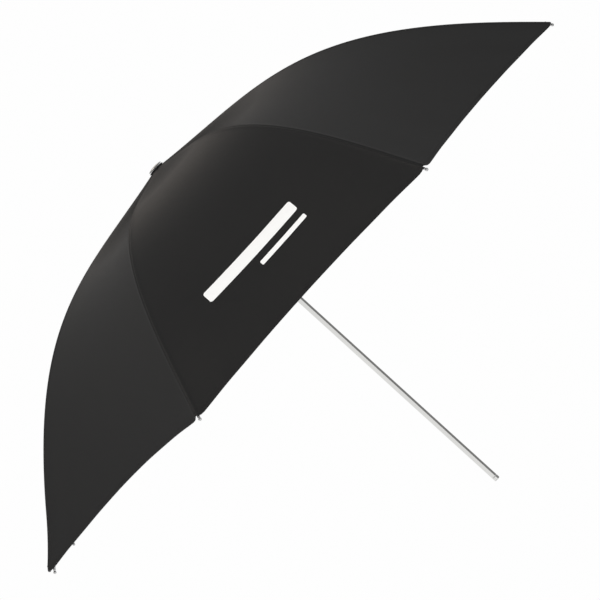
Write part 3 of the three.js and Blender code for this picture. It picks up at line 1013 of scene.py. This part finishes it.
def plate(bm, outline, low, high, bevel=EDGE_BREAK):
    """An outline (out, up) thickened along Y between two heights, with its edges broken."""
    count = len(outline)
    normals = []
    for i in range(count):
        before, after = outline[i] - outline[i - 1], outline[(i + 1) % count] - outline[i]
        turn = (before.normalized() + after.normalized()).normalized()
        normals.append(Vector((-turn.y, turn.x)))
    area = sum(a.x * b.y - b.x * a.y for a, b in zip(outline, outline[1:] + outline[:1]))
    sign = 1 if area > 0 else -1
    rings = []
    for side, inset in ((low, bevel), (low + bevel, 0), (high - bevel, 0), (high, bevel)):
        rings.append([bm.verts.new((p.x + sign * n.x * inset, side, p.y + sign * n.y * inset))
                      for p, n in zip(outline, normals)])
    bm.faces.new(rings[0])
    bm.faces.new(rings[-1][::-1])
    for first, second in zip(rings, rings[1:]):
        for i in range(count):
            bm.faces.new((first[i], first[(i + 1) % count], second[(i + 1) % count], second[i]))


blade_corners = [(0.2, -22, 0.3), (2.3, -22, 0.5), (2.4, -15, 3), (5.7, -3.4, 0.8), (5.8, 0, 0.4),
                 (0.9, 0, 0.4), (0.2, -4, 1)]
bm = bmesh.new()
plate(bm, rounded(millimetres(at_height(blade_corners, catch_top))), -0.0006, 0.0006)
fit_piece(shaped("catch_spring", bm, bright_steel), "catch", "plug_steel", "catch_blade")

# ---------------------------------------------------------------------------------------------------
# Crown: a moulded collar on the top of the shaft. The ribs' eyes hang on a wire in its groove, and
# each rib swings in a slot.
crown_pin = np.array(joints["rib_1_fold"]["pos_m"])
CROWN_HEIGHT = float(crown_pin[2])
HINGE_RADIUS = float(np.hypot(crown_pin[0], crown_pin[1]))
FLANGE = 12.0
WIRE_RADIUS = 0.0005


def slotted(piece, width, floor, height):
    """One slot in each rib's plane through a flange, down to the radius of the slot's floor."""
    cutter = bmesh.new()
    for k in range(1, RIBS + 1):
        box(cutter, (floor, -width / 2, height - 0.008), (floor + 0.012, width / 2, height + 0.008),
            Matrix.Rotation(rib_azimuth(k), 4, "Z"))
    return cut_away(piece, cutter)


crown_corners = [
    (3.8, -12, 0.3), (6.4, -12, 0.5), (6.4, -4.6, 0.8), (FLANGE, -3.5, 0.5), (FLANGE, -0.9, 0.2),
    (7.6, -0.9, 0), (7.6, 0.9, 0), (FLANGE, 0.9, 0.2), (FLANGE, 3.5, 0.6), (3.8, 3.5, 0.3),
]
collar = lathed("crown_collar", at_height(crown_corners, CROWN_HEIGHT), ROUND, Matrix.Identity(4),
                black_plastic)
crown = slotted(collar, 0.0028, 0.0076, CROWN_HEIGHT)
fit_piece(crown, "shaft_assembly", "black_plastic", "crown")


def wire_ring(name, radius, height):
    """A closed ring of round wire about the shaft."""
    circle = [(radius + WIRE_RADIUS * math.cos(turn), height + WIRE_RADIUS * math.sin(turn))
              for turn in (2 * math.pi * i / 12 for i in range(12))]
    bm = bmesh.new()
    lathe(bm, circle, ROUND)
    return shaped(name, bm, bright_steel)


crown_ring = wire_ring("crown_ring_wire", HINGE_RADIUS, CROWN_HEIGHT)
fit_piece(crown_ring, "shaft_assembly", "wire_steel", "crown_wire")

# ---------------------------------------------------------------------------------------------------
# Ribs: each is a steel channel in two halves. The inner half has an eye on the crown wire and ends in
# a riveted pin, and the outer half is forked over that pin and carries the rib's tip.
CLIP_DROP = 0.004
RIB_SIDE = 0.001
FORK_HOLE = 0.0011
FORK_EYE = 0.0022
FORK_ARM = 0.0012
RIVET_REACH, RIVET_HEAD = 0.0045, 0.0017
CHANNEL_START = 0.026
rib_steel = worn_material("rib_steel", (0.55, 0.55, 0.57), 0.24, 0.38, 0.0008, 0.02, 0.00001, Metallic=1.0)


def share_at(radius):
    """The share of the canopy line at a distance from the axis."""
    return float(np.interp(radius, table_point[:, 0], table_share))


def below_line(share, drop):
    """A point under the canopy line, square to it, and the line's direction there."""
    point, tangent = canopy_line(share)
    return Vector((point[0] + tangent[1] * drop, point[1] - tangent[0] * drop)), Vector(tangent)


clip_share = share_at(clip_radius)
channel_half = [(-1.2, 1.0), (0.8, 1.0), (1.08, 0.88), (1.2, 0.6)]
channel_hollow = [(-1.2, -0.6), (0.65, -0.6), (0.65, 0.6), (-1.2, 0.6)]
channel_section = millimetres(
    channel_half + [(up, -side) for up, side in channel_half[::-1]] + channel_hollow)


def swept(bm, points, section):
    """A bar of constant section (up, side) along points (out, up) in the plane Y = 0."""
    rings = []
    for i, point in enumerate(points):
        along = (points[min(i + 1, len(points) - 1)] - points[max(i - 1, 0)]).normalized()
        rings.append([bm.verts.new((point.x - along.y * up, side, point.y + along.x * up))
                      for up, side in section])
    count = len(section)
    for first, second in zip(rings, rings[1:]):
        for i in range(count):
            bm.faces.new((first[i], first[(i + 1) % count], second[(i + 1) % count], second[i]))
    bm.faces.new(rings[0][::-1])
    bm.faces.new(rings[-1])


def stadium(start, end, radius):
    """The outline of a bar with round ends, from one centre to another."""
    along = (end - start).normalized()
    heading = math.atan2(along.y, along.x)
    outline = []
    for centre, first in ((end, heading - math.pi / 2), (start, heading + math.pi / 2)):
        for step in range(13):
            turn = first + math.pi * step / 12
            outline.append(centre + radius * Vector((math.cos(turn), math.sin(turn))))
    return outline


def rivet(bm, centre, reach, head, shank=0.0008):
    """A pin along Y with a domed head at each end."""
    height = 0.0006
    half = [(head, reach - height), (head * 0.9, reach - 0.35 * height), (head * 0.55, reach), (0, reach)]
    outline = [(r, -z) for r, z in half[::-1]] + [(shank, -(reach - height)), (shank, reach - height)] + half
    lathe(bm, outline, 24, across_pin(centre))


def annulus(bm, centre, inner, outer, low, high):
    """A flat ring round an axis along Y."""
    outline = [(inner, low), (outer - EDGE_BREAK, low), (outer, low + EDGE_BREAK),
               (outer, high - EDGE_BREAK), (outer - EDGE_BREAK, high), (inner, high)]
    lathe(bm, [(r, -y) for r, y in outline], 32, across_pin(centre))


crown_eye = Vector((HINGE_RADIUS, CROWN_HEIGHT))
clip = Vector((clip_radius, float(clip_pin[2])))


def spine(first, last, steps):
    """The line that a rib's channel follows between two shares of the canopy line."""
    return [below_line(first + (last - first) * i / steps, RIB_DROP)[0] for i in range(steps + 1)]


def smooth_path(points, steps=6):
    """A Catmull-Rom curve through a few points."""
    path = []
    padded = [2 * points[0] - points[1], *points, 2 * points[-1] - points[-2]]
    for a, b, c, d in zip(padded, padded[1:], padded[2:], padded[3:]):
        for step in range(steps):
            t = step / steps
            path.append(0.5 * (2 * b + (c - a) * t + (2 * a - 5 * b + 4 * c - d) * t**2
                               + (3 * b - a - 3 * c + d) * t**3))
    return path + [points[-1]]


inner_bm = bmesh.new()
neck = crown_eye.lerp(below_line(share_at(CHANNEL_START), RIB_DROP)[0], 0.09)
inner_path = [neck, *spine(share_at(CHANNEL_START), share_at(clip_radius - 0.016), 6),
              clip - 0.0018 * below_line(clip_share, 0)[1]]
swept(inner_bm, smooth_path(inner_path), channel_section)
annulus(inner_bm, crown_eye, 0.0007, 0.0019, -RIB_SIDE, RIB_SIDE)
annulus(inner_bm, clip, 0.0008, 0.002, -RIB_SIDE, RIB_SIDE)
rivet(inner_bm, clip, RIVET_REACH, RIVET_HEAD)

outer_bm = bmesh.new()
fork_end = below_line(clip_share + 0.014, CLIP_DROP - 0.0004)[0]
fork_middle = clip.lerp(fork_end, 0.5)
for low, high in ((-0.0023, -0.0013), (0.0013, 0.0023)):
    annulus(outer_bm, clip, FORK_HOLE, FORK_EYE, low, high)
    plate(outer_bm, stadium(clip + (fork_end - clip).normalized() * 0.0023, fork_end, FORK_ARM), low, high)
plate(outer_bm, stadium(fork_middle + (fork_end - clip).normalized() * 0.0008, fork_end, FORK_ARM),
      -0.0018, 0.0018)
_, end_tangent = below_line(1.0, 0)
TIP_BALL = 0.0017
TIP_LENGTH = 0.009
tip_ball = below_line(1.0, 0.0028)[0] - TIP_BALL * end_tangent
tip_base = tip_ball + (TIP_BALL - TIP_LENGTH) * end_tangent
outer_path = [fork_middle, *spine(clip_share + 0.03, 0.977, 9), tip_base - 0.0003 * end_tangent]
swept(outer_bm, smooth_path(outer_path), channel_section)


def copies(bm, name, body, slot, node, materials):
    """The piece made over azimuth 0, turned to each rib in its own mesh."""
    for k in range(1, RIBS + 1):
        turned_bm = bm.copy()
        bmesh.ops.transform(turned_bm, matrix=Matrix.Rotation(rib_azimuth(k), 4, "Z"), verts=turned_bm.verts)
        piece = shaped(f"{name}_{k}", turned_bm, *materials)
        fit_piece(piece, f"{body}_{k}", slot, f"{node}_{k}")
    bm.free()


copies(inner_bm, "rib_channel_inner", "rib", "rib_steel", "rib_inner", [rib_steel])
copies(outer_bm, "rib_channel_outer", "rib_end", "rib_steel", "rib_outer", [rib_steel])

# ---------------------------------------------------------------------------------------------------
# Rib tips: turned metal ends with a small ball, pressed on to the outer ribs.
tip_chrome = worn_material("tip_chrome", (0.74, 0.74, 0.74), 0.12, 0.24, 0.0004, 0.004, 0.000005,
                           Metallic=1.0)
tip_bm = bmesh.new()
tip_profile = [(0, 0), (1.25, 0), (1.4, 0.2), (1.4, 4.8), (1.2, 5.3), (0.85, 5.7), (0.8, 6.0)]
ball_turns = [-0.31 * math.pi + 0.81 * math.pi * i / 14 for i in range(15)]
tip_profile += [(1.7 * math.cos(turn) if turn < 1.57 else 0, 7.3 + 1.7 * math.sin(turn))
                for turn in ball_turns]
tip_place = Matrix.Translation((tip_base.x, 0, tip_base.y)) @ Matrix.Rotation(
    math.pi / 2 - math.atan2(end_tangent.y, end_tangent.x), 4, "Y")
lathe(tip_bm, millimetres(tip_profile), 32, tip_place)
copies(tip_bm, "ball_tip", "rib_end", "tip_metal", "rib_tip", [tip_chrome])

# ---------------------------------------------------------------------------------------------------
# Stretchers: slim steel bars that push the ribs up. Each has an eye on the runner's wire at its foot
# and a fork at its head, riveted over both halves of the rib.
FORK_SIDE = 0.0036
runner_eye = Vector((HINGE_RADIUS, 2 * clip.y - crown_eye.y))
inwards = (runner_eye - clip).normalized()
stretcher_section = rounded(millimetres(
    [(-1.2, -1.2, 0.4), (-1.2, 1.2, 0.4), (1.2, 1.2, 0.4), (1.2, -1.2, 0.4)]))
stretcher_bm = bmesh.new()
for low, high in ((-FORK_SIDE, -0.0026), (0.0026, FORK_SIDE)):
    annulus(stretcher_bm, clip, FORK_HOLE, FORK_EYE, low, high)
    plate(stretcher_bm, stadium(clip + 0.0023 * inwards, clip + 0.0138 * inwards, FORK_ARM), low, high)
plate(stretcher_bm, stadium(clip + 0.0113 * inwards, clip + 0.0138 * inwards, 0.00118), -0.0030, 0.0030)
swept(stretcher_bm, [clip + 0.0125 * inwards, clip.lerp(runner_eye, 0.5), runner_eye - 0.0012 * inwards],
      stretcher_section)
plate(stretcher_bm, stadium(runner_eye - 0.0015 * inwards, runner_eye, 0.0017), -0.0012, 0.0012)
copies(stretcher_bm, "stretcher_bar", "stretcher", "rib_steel", "stretcher", [rib_steel])

# ---------------------------------------------------------------------------------------------------
# Runner: a moulded sleeve that slides on the shaft, with a ribbed grip at its foot and a slotted
# flange at its top, where the stretchers swing on a wire.
RUNNER_HEIGHT = runner_eye.y
runner_corners = [
    (3.8, -34, 0.3), (7.6, -34, 0.6), (7.6, -22.2, 0.8), (6.2, -19.2, 1), (6.2, -5, 0.8),
    (FLANGE, -3.5, 0.5), (FLANGE, -0.8, 0.2), (6.7, -0.8, 0), (6.7, 0.8, 0), (FLANGE, 0.8, 0.2),
    (FLANGE, 3.5, 0.6), (3.8, 3.5, 0.3),
]
sleeve = lathed("runner_sleeve", at_height(runner_corners, RUNNER_HEIGHT), ROUND, Matrix.Identity(4),
                black_plastic)
runner = slotted(sleeve, 0.0032, 0.0067, RUNNER_HEIGHT)


def grip_rib_tree():
    """Upright grip ribs in a ring: one small rounded bar, repeated round the collar."""
    tree, given, result = node_tree("grip_ribs", Count="Int", Radius="Float", Height="Float", Length="Float",
                                    Width="Float", Material="Material")
    circle = add_node(tree, "GeometryNodeMeshCircle", Vertices=given.outputs["Count"],
                      Radius=given.outputs["Radius"])
    up = add_node(tree, "ShaderNodeCombineXYZ", Z=given.outputs["Height"])
    lift = add_node(tree, "GeometryNodeTransform", Geometry=circle.outputs["Mesh"],
                    Translation=up.outputs["Vector"])
    bead, size = small_bead(tree, given, 8, 6)
    spread = add_node(tree, "GeometryNodeInstanceOnPoints", Points=lift.outputs["Geometry"],
                      Instance=bead, Scale=size)
    finished(tree, spread.outputs["Instances"], given, result)
    return tree


grip = grown("runner_grip_ribs", bpy.data.meshes.new("grip"), grip_rib_tree(), Count=28, Radius=0.00755,
             Height=RUNNER_HEIGHT - 0.0281, Length=0.0105, Width=0.0009, Material=black_plastic)
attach(grip, "runner_assembly")
fit_piece(runner, "runner_assembly", "black_plastic", "runner")

runner_ring = wire_ring("runner_ring_wire", 0.0075, RUNNER_HEIGHT)
fit_piece(runner_ring, "runner_assembly", "wire_steel", "runner_wire")
